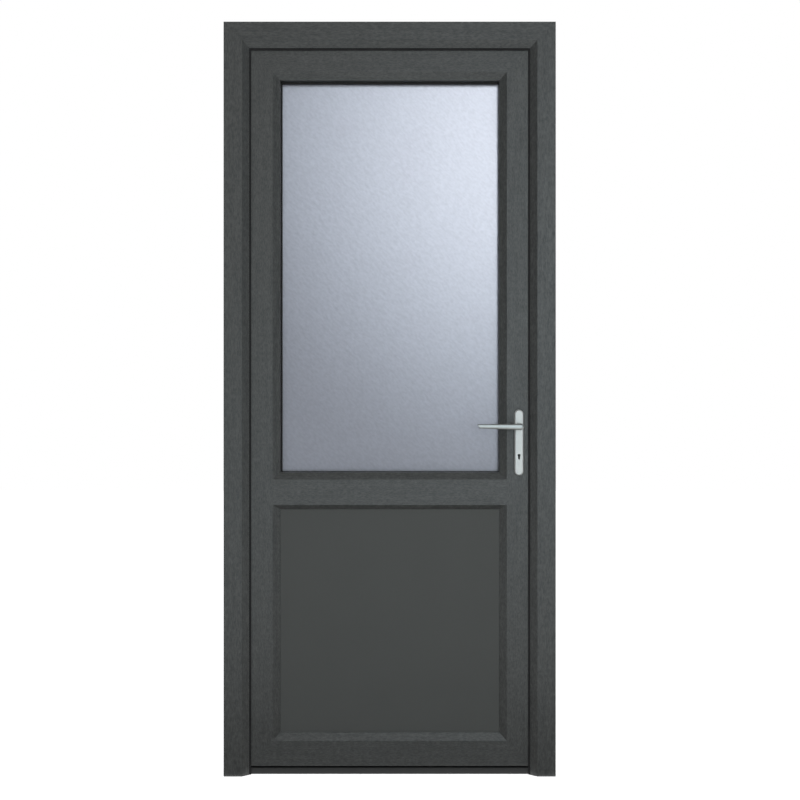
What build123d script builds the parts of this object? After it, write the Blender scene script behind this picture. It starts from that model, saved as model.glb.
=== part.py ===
from build123d import *
import os

os.makedirs("parts", exist_ok=True)

# Door set in millimetres: outside face towards -Y, floor at z = 0, hinges on the left
frame_width = 920
frame_height = 2090
profile_depth = 70
frame_front = -profile_depth / 2
frame_back = profile_depth / 2
frame_half = frame_width / 2

# Outer frame profile, u measured in from the frame's edge
frame_flat = 51
frame_chamfer = 18
chamfer_depth = 11
lip_u = frame_flat + frame_chamfer
lip_back = -22
rebate_u = 51.5
trim_groove = 8
trim_groove_depth = 3
outer_radius = 1.5
fixing_radius = 5.25
fixing_spacing = 590
fixing_count = 4

# Leaf profile, v measured in from the edge of the leaf's body
leaf_edge_u = 63.5
leaf_front = -17
leaf_back = leaf_front + profile_depth
leaf_flat = 70
leaf_bevel = 20
bevel_back = leaf_front + chamfer_depth
lip_end = leaf_flat + leaf_bevel
glazing_lip_back = 9.5
glazing_rebate = 72
flange_reach = 17.5
flange_front = 40
hardware_groove = (14, 34)
hardware_groove_depth = 3
key_groove = (18, 30)
key_groove_depth = 8
leaf_half = frame_half - leaf_edge_u
leaf_bottom = 22.5
leaf_top = frame_height - leaf_edge_u
rebate_half = leaf_half - glazing_rebate

# Mid rail
mid_rail_z = 785
mid_rail_flat = 35.5
mid_rail_body = 37.5
mid_rail_lower_bevel = 13

# Glass, panel, gaskets and beads, w measured in from the glazing rebate
unit_front = 13
unit_back = 37
pane_thickness = 4
edge_clearance = 5
gasket_reach = 21.5
field_front = bevel_back + 0.5
field_gap = 0.3
bead_height = 19
bead_foot = 2.5
bead_foot_y = (44, 47.5)

# Threshold
threshold_height = 17.5
threshold_ends = frame_half - rebate_u
tread_groove = 3
tread_groove_depth = 1.5
tread_groove_pitch = 7

# Hinges
hinge_x = -428
hinge_y = 67
hinge_levels = {"bottom": 245, "middle": 1045, "top": 1845}
knuckle_radius = 9
knuckle_length = 44
knuckle_gap = 1
pin_radius = 5
pin_clearance = 0.1
hinge_plate = 4
knuckle_chamfer = 1
hinge_height = 2 * knuckle_length + knuckle_gap
frame_plate_left = -456
frame_plate_right = -422
flag_left = -408
flag_right = -338

# Lock and handles
spindle_x = 359.5
spindle_z = 969
spindle_side = 8
plate_width = 24.7
plate_length = 182.8
plate_middle_z = 924
plate_thickness = 9
plate_bevel = 2.6
keyhole_radius = 3.9
keyhole_slot = 5
keyhole_top_z = 892.3
keyhole_height = 15
key_centre_z = keyhole_top_z - keyhole_radius
neck_radius = 8
neck_clearance = 0.1
collar_radius = 10
collar_height = 2.5
collar_gap = 0.2
grip_offset = 45
grip_length = 120
grip_depth = 12
hub_radius = 8.4
tip_top = 7.2
tip_bottom = -3.3
tip_slant = 6
tip_depth = 8.5
lock_case_length = 170
lock_case_depth = 50
lock_case_thickness = 15
faceplate_length = 1800
faceplate_thickness = 3
faceplate_middle_z = 1020
case_top_z = spindle_z + 42
case_bottom_z = case_top_z - lock_case_length
case_middle_y = (key_groove[0] + key_groove[1]) / 2
case_edge = leaf_half - faceplate_thickness

# Bolts, drawn back: level and height of each one's slot
bolt_thickness = 10
bolt_depth = 22
latch_nose = 3.5
latch_slot = (spindle_z, 20)
dead_bolt_slot = (key_centre_z - 3, 30)
hook_slots = ((300, 40), (1640, 40))
slot_clearance = 0.4
keep_face = frame_half - rebate_u
keep_thickness = 3


def outline(points):
    """Close a flat outline through points given as across, deep and an optional corner radius."""
    places = [point[:2] for point in points]
    radii = [point[2] if len(point) > 2 else 0 for point in points]
    with BuildSketch() as drawn:
        with BuildLine():
            FilletPolyline(*places, radius=radii, close=True)
        make_face()
    return drawn.sketch


def side_start(side, half, bottom, top):
    """Give one side of a rectangle as a plane at its first corner, x into the opening, and its length.

    The sides run clockwise seen from outside, so y of every plane points into the house."""
    corners = {
        "left": ((-half, 0, bottom), (1, 0, 0), (0, 0, 1), top - bottom),
        "top": ((-half, 0, top), (0, 0, -1), (1, 0, 0), 2 * half),
        "right": ((half, 0, top), (-1, 0, 0), (0, 0, -1), top - bottom),
        "bottom": ((half, 0, bottom), (0, 0, 1), (-1, 0, 0), 2 * half),
    }
    corner, inwards, along, length = corners[side]
    return Plane(origin=corner, x_dir=inwards, z_dir=along), Plane(corner, inwards, (0, -1, 0)), length


def mitred_bar(section, side, rectangle, square_start=False, square_end=False):
    """Run a section along one side of a rectangle and cut it at 45 degrees at the corners."""
    start, face_plane, length = side_start(side, *rectangle)
    across = [point[0] for point in section]
    near, far = min(across), max(across)
    overrun = max(-near, 0)
    with BuildPart() as bar:
        with BuildSketch(start.offset(-overrun)):
            add(outline(section))
        extrude(amount=length + 2 * overrun)
        with BuildSketch(face_plane):
            first = (0, 0) if square_start else (near, far)
            last = (0, 0) if square_end else (near, far)
            with BuildLine():
                Polyline(
                    (near, first[0]),
                    (far, first[1]),
                    (far, length - last[1]),
                    (near, length - last[0]),
                    close=True,
                )
            make_face()
        extrude(amount=2 * profile_depth, both=True, mode=Mode.INTERSECT)
    return bar.part


def ring(section, rectangle):
    """Weld four mitred bars into one closed ring."""
    with BuildPart() as whole:
        for side in ("left", "top", "right", "bottom"):
            add(mitred_bar(section, side, rectangle))
    return whole.part


frame_section = [
    (0, frame_front, outer_radius),
    (frame_flat, frame_front),
    (lip_u, frame_front + chamfer_depth),
    (lip_u, lip_back),
    (62, lip_back),
    (62, lip_back - 2.5),
    (59, lip_back - 2.5),
    (59, lip_back),
    (rebate_u, lip_back),
    (rebate_u, frame_back, 1),
    (0, frame_back, outer_radius),
    (0, 11 + trim_groove / 2),
    (trim_groove_depth, 11 + trim_groove / 2),
    (trim_groove_depth, 11 - trim_groove / 2),
    (0, 11 - trim_groove / 2),
    (0, -11 + trim_groove / 2),
    (trim_groove_depth, -11 + trim_groove / 2),
    (trim_groove_depth, -11 - trim_groove / 2),
    (0, -11 - trim_groove / 2),
]
frame_rectangle = (frame_half, 0, frame_height)

leaf_section = [
    (0, leaf_front),
    (leaf_flat, leaf_front),
    (lip_end, bevel_back, 1),
    (lip_end, glazing_lip_back),
    (glazing_rebate, glazing_lip_back),
    (glazing_rebate, bead_foot_y[0]),
    (glazing_rebate - bead_foot, bead_foot_y[0]),
    (glazing_rebate - bead_foot, bead_foot_y[1]),
    (glazing_rebate, bead_foot_y[1]),
    (glazing_rebate, leaf_back),
    (-flange_reach, leaf_back, outer_radius),
    (-flange_reach, flange_front),
    (0, flange_front),
    (0, hardware_groove[1]),
    (hardware_groove_depth, hardware_groove[1]),
    (hardware_groove_depth, key_groove[1]),
    (key_groove_depth, key_groove[1]),
    (key_groove_depth, key_groove[0]),
    (hardware_groove_depth, key_groove[0]),
    (hardware_groove_depth, hardware_groove[0]),
    (0, hardware_groove[0]),
]
leaf_rectangle = (leaf_half, leaf_bottom, leaf_top)



def mid_rail_side(bevel):
    """Give one edge of the mid rail's section, from its face to the back, for a bevel of this width."""
    return [
        (mid_rail_flat, leaf_front),
        (mid_rail_flat + bevel, bevel_back, 1),
        (mid_rail_flat + bevel, glazing_lip_back),
        (mid_rail_body, glazing_lip_back),
        (mid_rail_body, bead_foot_y[0]),
        (mid_rail_body - bead_foot, bead_foot_y[0]),
        (mid_rail_body - bead_foot, bead_foot_y[1]),
        (mid_rail_body, bead_foot_y[1]),
        (mid_rail_body, leaf_back),
    ]


mid_rail_section = mid_rail_side(leaf_bevel)
mid_rail_section += [(-point[0], *point[1:]) for point in reversed(mid_rail_side(mid_rail_lower_bevel))]

glass_rebate = (rebate_half, mid_rail_z + mid_rail_body, leaf_top - glazing_rebate)
panel_rebate = (rebate_half, leaf_bottom + glazing_rebate, mid_rail_z - mid_rail_body)

outer_gasket_section = [
    (10, glazing_lip_back),
    (lip_end - glazing_rebate, glazing_lip_back),
    (gasket_reach, glazing_lip_back + 1),
    (gasket_reach, unit_front),
    (10, unit_front),
]
panel_gasket_section = [
    (2, glazing_lip_back),
    (10, glazing_lip_back),
    (10, unit_front),
    (2, unit_front),
]
inner_gasket_section = [
    (10, unit_back),
    (bead_height + 1, unit_back),
    (bead_height + 1, flange_front - 1),
    (bead_height, flange_front),
    (10, flange_front),
]
bead_section = [
    (0, flange_front),
    (bead_height, flange_front),
    (bead_height, leaf_back - 8, 1),
    (4, leaf_back),
    (0, leaf_back),
    (0, bead_foot_y[1]),
    (-bead_foot, bead_foot_y[1]),
    (-bead_foot, bead_foot_y[0]),
    (0, bead_foot_y[0]),
]
spacer_section = [
    (edge_clearance + 1, unit_front + pane_thickness),
    (edge_clearance + 11, unit_front + pane_thickness),
    (edge_clearance + 11, unit_back - pane_thickness),
    (edge_clearance + 1, unit_back - pane_thickness),
]
frame_seal_section = [
    (59, lip_back - 2.5),
    (62, lip_back - 2.5),
    (62, lip_back),
    (lip_u, lip_back),
    (73, lip_back + 0.4),
    (74.3, lip_back + 2, 0.8),
    (72.5, leaf_front - 0.5),
    (57, leaf_front - 0.5),
    (57, lip_back),
    (59, lip_back),
]
leaf_seal_section = [
    (-16.5, flange_front),
    (-12, flange_front),
    (-12.5, frame_back + 0.5, 1.2),
    (-16, frame_back + 0.5, 1.2),
]

# Welded outer frame, open at the floor, with a row of fixing holes through each jamb
with BuildPart() as frame_left_jamb:
    add(mitred_bar(frame_section, "left", frame_rectangle, square_start=True))
    with BuildSketch(Plane.YZ.offset(-frame_half)):
        with Locations((0, frame_height / 2)):
            with GridLocations(0, fixing_spacing, 1, fixing_count):
                Circle(fixing_radius)
    extrude(amount=rebate_u, mode=Mode.SUBTRACT)

with BuildPart() as frame_head:
    add(mitred_bar(frame_section, "top", frame_rectangle))

with BuildPart() as frame_right_jamb:
    add(mitred_bar(frame_section, "right", frame_rectangle, square_end=True))
    with BuildSketch(Plane.YZ.offset(frame_half)):
        with Locations((0, frame_height / 2)):
            with GridLocations(0, fixing_spacing, 1, fixing_count):
                Circle(fixing_radius)
    extrude(amount=-rebate_u, mode=Mode.SUBTRACT)

with BuildPart() as frame_seal:
    add(mitred_bar(frame_seal_section, "left", frame_rectangle, square_start=True))
    add(mitred_bar(frame_seal_section, "top", frame_rectangle))
    add(mitred_bar(frame_seal_section, "right", frame_rectangle, square_end=True))

# Low threshold between the jambs, under the leaf
with BuildPart() as threshold:
    with BuildSketch(Plane.YZ):
        with BuildLine():
            FilletPolyline(
                (leaf_front, 0),
                (frame_back, 0),
                (frame_back, threshold_height),
                (leaf_front, threshold_height),
                radius=[0, 0, 1, 2],
                close=True,
            )
        make_face()
    extrude(amount=threshold_ends, both=True)
    with BuildSketch(Plane.XY.offset(threshold_height)):
        with Locations((0, (leaf_front + frame_back) / 2)):
            with GridLocations(0, tread_groove_pitch, 1, 4):
                Rectangle(2 * threshold_ends, tread_groove)
    extrude(amount=-tread_groove_depth, mode=Mode.SUBTRACT)

# Leaf frame: two stiles and two rails mitred, the mid rail scribed over the stiles
with BuildPart() as leaf_hinge_stile:
    add(mitred_bar(leaf_section, "left", leaf_rectangle))

with BuildPart() as leaf_top_rail:
    add(mitred_bar(leaf_section, "top", leaf_rectangle))

with BuildPart() as leaf_bottom_rail:
    add(mitred_bar(leaf_section, "bottom", leaf_rectangle))


def keyhole(grow=0):
    """Draw a keyhole about its bow's centre: a round bow above a parallel slot."""
    bow = keyhole_radius + grow
    foot = keyhole_height - keyhole_radius + grow
    with BuildSketch() as drawn:
        Circle(bow)
        with Locations((0, -foot)):
            Rectangle(keyhole_slot + 2 * grow, foot, align=(Align.CENTER, Align.MIN))
    return drawn.sketch


outside = Plane(origin=(spindle_x, 0, 0), x_dir=(1, 0, 0), z_dir=(0, -1, 0))

with BuildPart() as leaf_lock_stile:
    add(mitred_bar(leaf_section, "right", leaf_rectangle))
    with BuildSketch(Plane.XY.offset(case_bottom_z - 1)):
        with Locations((case_edge + 1, case_middle_y)):
            Rectangle(lock_case_depth + 2, lock_case_thickness + 1, align=(Align.MAX, Align.CENTER))
    extrude(amount=lock_case_length + 2, mode=Mode.SUBTRACT)
    with BuildSketch(outside.offset(-leaf_back)):
        with Locations((0, spindle_z)):
            Circle(neck_radius)
        with Locations((0, key_centre_z)):
            add(keyhole(1))
    extrude(amount=profile_depth, mode=Mode.SUBTRACT)

with BuildPart() as leaf_mid_rail:
    with BuildSketch(Plane(origin=(0, 0, mid_rail_z), x_dir=(0, 0, 1), z_dir=(-1, 0, 0))):
        add(outline(mid_rail_section))
    extrude(amount=rebate_half + 2, both=True)
    for side in ("left", "right"):
        add(mitred_bar(leaf_section, side, leaf_rectangle), mode=Mode.SUBTRACT)

# Sealed glass unit
with BuildPart() as glass_outer_pane:
    with BuildSketch(Plane.XZ.offset(-unit_front)):
        with Locations((0, (glass_rebate[1] + glass_rebate[2]) / 2)):
            Rectangle(
                2 * (rebate_half - edge_clearance),
                glass_rebate[2] - glass_rebate[1] - 2 * edge_clearance,
            )
    extrude(amount=-pane_thickness)

with BuildPart() as glass_inner_pane:
    with Locations((0, unit_back - unit_front - pane_thickness, 0)):
        add(glass_outer_pane.part)

with BuildPart() as glass_spacer:
    add(ring(spacer_section, glass_rebate))

# Lower panel: a board in the rebate, its flat field raised to the feet of the bevels
field_half = leaf_half - lip_end - field_gap
field_bottom = leaf_bottom + lip_end + field_gap
field_top = mid_rail_z - mid_rail_flat - mid_rail_lower_bevel - field_gap
with BuildPart() as lower_panel:
    with BuildSketch(Plane.XZ.offset(-unit_front)):
        with Locations((0, (panel_rebate[1] + panel_rebate[2]) / 2)):
            Rectangle(
                2 * (rebate_half - edge_clearance),
                panel_rebate[2] - panel_rebate[1] - 2 * edge_clearance,
            )
    extrude(amount=-(unit_back - unit_front))
    with BuildSketch(Plane.XZ.offset(-unit_front)):
        with Locations((0, (field_bottom + field_top) / 2)):
            Rectangle(2 * field_half, field_top - field_bottom)
    extrude(amount=unit_front - field_front)

# Lock edge of the leaf
with BuildPart() as lock_faceplate:
    with BuildSketch(Plane.YZ.offset(case_edge)):
        with Locations((case_middle_y, faceplate_middle_z)):
            SlotOverall(faceplate_length, hardware_groove[1] - hardware_groove[0], rotation=90)
        for level, height in (latch_slot, dead_bolt_slot, *hook_slots):
            with Locations((case_middle_y, level)):
                Rectangle(
                    bolt_thickness + slot_clearance,
                    height + slot_clearance,
                    mode=Mode.SUBTRACT,
                )
    extrude(amount=faceplate_thickness)

with BuildPart() as lock_case:
    with BuildSketch(Plane.XY.offset(case_bottom_z)):
        with Locations((case_edge, case_middle_y)):
            Rectangle(lock_case_depth, lock_case_thickness, align=(Align.MAX, Align.CENTER))
    extrude(amount=lock_case_length)
    with BuildSketch(outside.offset(-leaf_back)):
        with Locations((0, spindle_z)):
            Circle(neck_radius - 1)
        with Locations((0, key_centre_z)):
            add(keyhole())
    extrude(amount=profile_depth, mode=Mode.SUBTRACT)
    for level, height in (latch_slot, dead_bolt_slot):
        with Locations((case_edge, case_middle_y, level)):
            Box(
                bolt_depth + slot_clearance,
                bolt_thickness + slot_clearance,
                height + slot_clearance,
                align=(Align.MAX, Align.CENTER, Align.CENTER),
                mode=Mode.SUBTRACT,
            )

# Handles: a long plate each side of the leaf, two levers on one square spindle


def handle_plate(face_y, outwards):
    """Make one round-ended plate with a bevelled rim, its lever hole and its keyhole."""
    back = Plane(origin=(spindle_x, face_y, 0), x_dir=(-outwards, 0, 0), z_dir=(0, outwards, 0))
    with BuildPart() as plate:
        with BuildSketch(back):
            with Locations((0, plate_middle_z)):
                SlotOverall(plate_length, plate_width, rotation=90)
        extrude(amount=plate_thickness)
        rim = plate.faces().sort_by(Axis.Y)[0 if outwards < 0 else -1].edges()
        chamfer(rim, plate_bevel)
        with BuildSketch(back):
            with Locations((0, spindle_z)):
                Circle(neck_radius + neck_clearance)
            with Locations((0, key_centre_z)):
                add(keyhole())
        extrude(amount=plate_thickness, mode=Mode.SUBTRACT)
    return plate.part


with BuildPart() as outside_handle_plate:
    add(handle_plate(leaf_front, -1))

with BuildPart() as inside_handle_plate:
    add(handle_plate(leaf_back, 1))


def lever(face_y, outwards):
    """Make one lever: a turned neck with a collar, and a bevelled grip that tapers towards the glass."""
    front = Plane(origin=(spindle_x, face_y, spindle_z), x_dir=(1, 0, 0), z_dir=(0, -1, 0))
    side = Plane(origin=(spindle_x, face_y, spindle_z), x_dir=(0, outwards, 0), z_dir=(-1, 0, 0))
    plan = Plane(origin=(spindle_x, face_y, spindle_z), x_dir=(1, 0, 0), z_dir=(0, 0, -outwards))
    near = grip_offset - grip_depth / 2
    far = grip_offset + grip_depth / 2
    collar_start = plate_thickness + collar_gap
    collar_end = collar_start + collar_height
    reach = 2 * grip_length
    with BuildPart() as handle:
        with BuildSketch(front):
            with BuildLine():
                Polyline(
                    (0, hub_radius),
                    (-grip_length, tip_top),
                    (tip_slant - grip_length, tip_bottom),
                    (0, -hub_radius),
                )
                ThreePointArc((0, -hub_radius), (hub_radius, 0), (0, hub_radius))
            make_face()
        extrude(amount=-outwards * far)
        with BuildSketch(side):
            with BuildLine():
                Polyline(
                    (near, -hub_radius - 1),
                    (far - 2, -hub_radius - 1),
                    (far - 2, -hub_radius),
                    (far, 2 - hub_radius),
                    (far, hub_radius - 5),
                    (far - 4.5, hub_radius),
                    (far - 4.5, hub_radius + 1),
                    (near, hub_radius + 1),
                    close=True,
                )
            make_face()
        extrude(amount=reach, both=True, mode=Mode.INTERSECT)
        with BuildSketch(plan):
            with BuildLine():
                Polyline(
                    (-hub_radius - 3, -outwards * near),
                    (-grip_length, -outwards * (far - tip_depth)),
                    (-grip_length, -outwards * near),
                    close=True,
                )
            make_face()
        extrude(amount=reach, both=True, mode=Mode.SUBTRACT)
        with BuildSketch(side):
            with BuildLine():
                Polyline(
                    (1, 0),
                    (1, neck_radius),
                    (collar_start, neck_radius),
                    (collar_start, collar_radius),
                    (collar_end - 0.8, collar_radius),
                    (collar_end, collar_radius - 0.8),
                    (collar_end, neck_radius - 1),
                    (near + 1, neck_radius - 1),
                    (near + 1, 0),
                    close=True,
                )
            make_face()
        revolve(axis=Axis((spindle_x, face_y, spindle_z), (0, 1, 0)))
        with BuildSketch(front):
            Rectangle(spindle_side + 0.2, spindle_side + 0.2)
        extrude(amount=-outwards * 17, mode=Mode.SUBTRACT)
    return handle.part


with BuildPart() as outside_lever:
    add(lever(leaf_front, -1))

with BuildPart() as inside_lever:
    add(lever(leaf_back, 1))

with BuildPart() as spindle:
    with BuildSketch(Plane(origin=(spindle_x, leaf_front - 14, spindle_z), x_dir=(1, 0, 0), z_dir=(0, 1, 0))):
        Rectangle(spindle_side, spindle_side)
    extrude(amount=profile_depth + 28)

with BuildPart() as leaf_seal:
    add(ring(leaf_seal_section, leaf_rectangle))

# Gaskets both sides of the glass and of the panel
with BuildPart() as glass_outer_gasket:
    add(ring(outer_gasket_section, glass_rebate))

with BuildPart() as glass_inner_gasket:
    add(ring(inner_gasket_section, glass_rebate))

with BuildPart() as panel_outer_gasket:
    add(ring(panel_gasket_section, panel_rebate))

with BuildPart() as panel_inner_gasket:
    add(ring(inner_gasket_section, panel_rebate))

# Bolts of the lock, drawn back
with BuildPart() as latch_bolt:
    with BuildSketch(Plane.XY.offset(latch_slot[0] - latch_slot[1] / 2)):
        with BuildLine():
            Polyline(
                (case_edge - bolt_depth, case_middle_y - bolt_thickness / 2),
                (leaf_half + latch_nose, case_middle_y - bolt_thickness / 2),
                (leaf_half - 2, case_middle_y + bolt_thickness / 2),
                (case_edge - bolt_depth, case_middle_y + bolt_thickness / 2),
                close=True,
            )
        make_face()
    extrude(amount=latch_slot[1])

with BuildPart() as dead_bolt:
    with BuildSketch(Plane.XY.offset(dead_bolt_slot[0] - dead_bolt_slot[1] / 2)):
        with Locations((leaf_half, case_middle_y)):
            Rectangle(bolt_depth, bolt_thickness, align=(Align.MAX, Align.CENTER))
    extrude(amount=dead_bolt_slot[1])

with BuildPart() as hook_bolts:
    for level, height in hook_slots:
        with BuildSketch(Plane.XZ.offset(-case_middle_y - bolt_thickness / 2 + 1)):
            with Locations((leaf_half - 1, level)):
                RectangleRounded(key_groove_depth - 1, height, 2.5, align=(Align.MAX, Align.CENTER))
        extrude(amount=bolt_thickness - 2)

# Keeps on the lock jamb, facing the bolts


def keep_plate(middle_z, length, slots):
    """Make one keep: a round-cornered plate on the jamb with a slot for each bolt."""
    with BuildPart() as plate:
        with BuildSketch(Plane.YZ.offset(keep_face - keep_thickness)):
            with Locations((case_middle_y - 2, middle_z)):
                RectangleRounded(20, length, 3)
            for level, height in slots:
                with Locations((case_middle_y, level)):
                    Rectangle(bolt_thickness + 3, height + 6, mode=Mode.SUBTRACT)
        extrude(amount=keep_thickness)
    return plate.part


with BuildPart() as latch_keep:
    middle = (latch_slot[0] + dead_bolt_slot[0]) / 2
    add(keep_plate(middle, 170, (latch_slot, dead_bolt_slot)))

with BuildPart() as hook_keeps:
    for slot in hook_slots:
        add(keep_plate(slot[0], 90, (slot,)))

# Flag hinges: the pin stands in the frame's half and the leaf's half drops over it


def knuckle(low, outer_end):
    """Turn one knuckle about the hinge's axis, chamfered at its outer end: 0 is the lower end, -1 the upper."""
    with BuildPart() as turned:
        with Locations((hinge_x, hinge_y, low)):
            Cylinder(knuckle_radius, knuckle_length, align=(Align.CENTER, Align.CENTER, Align.MIN))
        rims = turned.edges().filter_by(GeomType.CIRCLE).sort_by(Axis.Z)
        chamfer(rims[outer_end], knuckle_chamfer)
    return turned.part


def hinge_frame_part(level):
    """Make the half on the frame: plate, lower knuckle with its arm, and the pin."""
    low = level - hinge_height / 2
    with BuildPart() as half:
        add(knuckle(low, 0))
        with BuildSketch(Plane.XY.offset(low)):
            with Locations((frame_plate_left, frame_back)):
                Rectangle(
                    frame_plate_right - frame_plate_left,
                    hinge_plate,
                    align=(Align.MIN, Align.MIN),
                )
        extrude(amount=hinge_height)
        with BuildSketch(Plane.XY.offset(low + knuckle_chamfer)):
            with BuildLine():
                Polyline(
                    (hinge_x - knuckle_radius, frame_back + hinge_plate),
                    (frame_plate_right, frame_back + hinge_plate),
                    (hinge_x + knuckle_radius, hinge_y),
                    (hinge_x - knuckle_radius, hinge_y),
                    close=True,
                )
            make_face()
        extrude(amount=knuckle_length - 2 * knuckle_chamfer)
        with BuildSketch(Plane.XY.offset(low)):
            with Locations((hinge_x, hinge_y)):
                Circle(pin_radius)
        extrude(amount=hinge_height)
    return half.part


def hinge_flag(level):
    """Make the half on the leaf: plate, arm and the bored upper knuckle."""
    low = level - hinge_height / 2
    upper = low + knuckle_length + knuckle_gap
    with BuildPart() as half:
        add(knuckle(upper, -1))
        with BuildSketch(Plane.XY.offset(low)):
            with Locations((flag_left, leaf_back)):
                Rectangle(flag_right - flag_left, hinge_plate, align=(Align.MIN, Align.MIN))
        extrude(amount=hinge_height)
        with BuildSketch(Plane.XY.offset(upper + knuckle_chamfer)):
            with BuildLine():
                Polyline(
                    (hinge_x, hinge_y - knuckle_radius),
                    (flag_left, leaf_back),
                    (flag_left + 10, leaf_back + hinge_plate),
                    (hinge_x + 6, hinge_y + 6.7),
                    close=True,
                )
            make_face()
        extrude(amount=knuckle_length - 2 * knuckle_chamfer)
        with BuildSketch(Plane.XY.offset(upper)):
            with Locations((hinge_x, hinge_y)):
                Circle(pin_radius + pin_clearance)
        extrude(amount=knuckle_length, mode=Mode.SUBTRACT)
    return half.part


pieces = {
    "frame_left_jamb": frame_left_jamb,
    "frame_head": frame_head,
    "frame_right_jamb": frame_right_jamb,
    "frame_seal": frame_seal,
    "threshold": threshold,
    "leaf_hinge_stile": leaf_hinge_stile,
    "leaf_top_rail": leaf_top_rail,
    "leaf_lock_stile": leaf_lock_stile,
    "leaf_bottom_rail": leaf_bottom_rail,
    "leaf_mid_rail": leaf_mid_rail,
    "glass_outer_pane": glass_outer_pane,
    "glass_inner_pane": glass_inner_pane,
    "glass_spacer": glass_spacer,
    "lower_panel": lower_panel,
    "lock_faceplate": lock_faceplate,
    "lock_case": lock_case,
    "outside_handle_plate": outside_handle_plate,
    "inside_handle_plate": inside_handle_plate,
    "outside_lever": outside_lever,
    "inside_lever": inside_lever,
    "spindle": spindle,
    "leaf_seal": leaf_seal,
    "glass_outer_gasket": glass_outer_gasket,
    "glass_inner_gasket": glass_inner_gasket,
    "panel_outer_gasket": panel_outer_gasket,
    "panel_inner_gasket": panel_inner_gasket,
    "latch_bolt": latch_bolt,
    "dead_bolt": dead_bolt,
    "hook_bolts": hook_bolts,
    "latch_keep": latch_keep,
    "hook_keeps": hook_keeps,
}

for side in ("left", "top", "right", "bottom"):
    for opening, rectangle in (("glass", glass_rebate), ("panel", panel_rebate)):
        with BuildPart() as bead:
            add(mitred_bar(bead_section, side, rectangle))
        pieces[f"{opening}_bead_{side}"] = bead

for name, level in hinge_levels.items():
    with BuildPart() as frame_half_hinge:
        add(hinge_frame_part(level))
    with BuildPart() as leaf_half_hinge:
        add(hinge_flag(level))
    pieces[f"{name}_hinge_frame_part"] = frame_half_hinge
    pieces[f"{name}_hinge_flag"] = leaf_half_hinge

for name, piece in pieces.items():
    piece.part.label = name
    export_step(piece.part, f"parts/{name}.step")
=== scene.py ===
"""Finish and studio scene for a half-glazed upvc door set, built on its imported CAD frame."""

import bmesh
import bpy
import numpy as np
from bpy.props import FloatProperty, FloatVectorProperty, PointerProperty
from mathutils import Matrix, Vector


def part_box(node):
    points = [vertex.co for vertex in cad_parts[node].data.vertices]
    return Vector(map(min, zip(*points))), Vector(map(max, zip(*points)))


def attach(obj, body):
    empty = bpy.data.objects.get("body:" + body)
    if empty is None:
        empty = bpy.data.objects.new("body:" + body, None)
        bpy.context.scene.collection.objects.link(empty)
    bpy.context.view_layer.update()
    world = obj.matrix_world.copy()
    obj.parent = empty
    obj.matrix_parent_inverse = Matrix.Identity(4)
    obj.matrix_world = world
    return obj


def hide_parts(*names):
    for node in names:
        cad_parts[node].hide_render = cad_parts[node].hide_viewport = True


bl_info = {
    "name": "Half-glazed upvc door",
    "version": (1, 0, 0),
    "blender": (4, 5, 0),
    "location": "View3D > Sidebar > Door",
    "description": "Dresses a upvc door set: grained foil, obscured glass, satin handles, hinges and lock",
    "category": "Object",
}

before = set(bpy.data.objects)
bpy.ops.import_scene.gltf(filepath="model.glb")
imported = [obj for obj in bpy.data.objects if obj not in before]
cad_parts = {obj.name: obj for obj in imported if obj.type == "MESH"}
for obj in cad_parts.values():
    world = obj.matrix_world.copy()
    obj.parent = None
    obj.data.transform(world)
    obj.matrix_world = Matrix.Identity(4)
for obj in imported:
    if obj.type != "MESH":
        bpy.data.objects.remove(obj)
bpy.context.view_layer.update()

# The spindle's axis, from its own node. Every length in this script is in metres.
spindle_low, spindle_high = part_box("spindle")
SPINDLE_X = (spindle_low.x + spindle_high.x) / 2
SPINDLE_Z = (spindle_low.z + spindle_high.z) / 2

# The leaf's front face ends this far inside its box, which also holds its flange
LEAF_FLANGE = 0.0175

# How far the gaskets reach in from their rebates at the left, the right, the bottom and the top
# The outer gasket reaches further in at the left and the top; that extra black rubber is a painted shadow of
# the lip on the glass
OUTER_GASKET_AND_SHADOW_REACHES = (0.0122, 0.0086, 0.0094, 0.0138)
INNER_GASKET_REACHES = (0.0096, 0.0096, 0.0096, 0.0096)

# One lever's grip, with depths measured out from the face that the plate lies on
HUB_RADIUS = 0.0084
GRIP_LENGTH = 0.12
GRIP_BACK = 0.039
GRIP_FRONT = 0.051
GRIP_TIP_SLANT = 0.006

# Heights of the screws above the floor
PLATE_SCREW_LEVELS = (0.865, 1.0025)
FACEPLATE_SCREW_LEVELS = (0.16, 0.42, 0.70, 0.93, 1.05, 1.32, 1.52, 1.76, 1.89)
KEEP_SCREW_LEVELS = (0.265, 0.335, 0.85, 0.945, 1.005, 1.605, 1.675)

# Hinge screws: their heights above a plate's lower edge, their distances from its end and their faces
HINGE_LEVELS = ("bottom", "middle", "top")
FLAG_SCREW_HEIGHTS = (0.014, 0.044, 0.075)
FLAG_SCREW_INSETS = (0.012, 0.045)
FLAG_FACE_Y = 0.057
FRAME_PART_SCREW_HEIGHTS = (0.012, 0.077)
FRAME_PART_SCREW_INSET = 0.010
FRAME_PART_FACE_Y = 0.039


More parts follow.
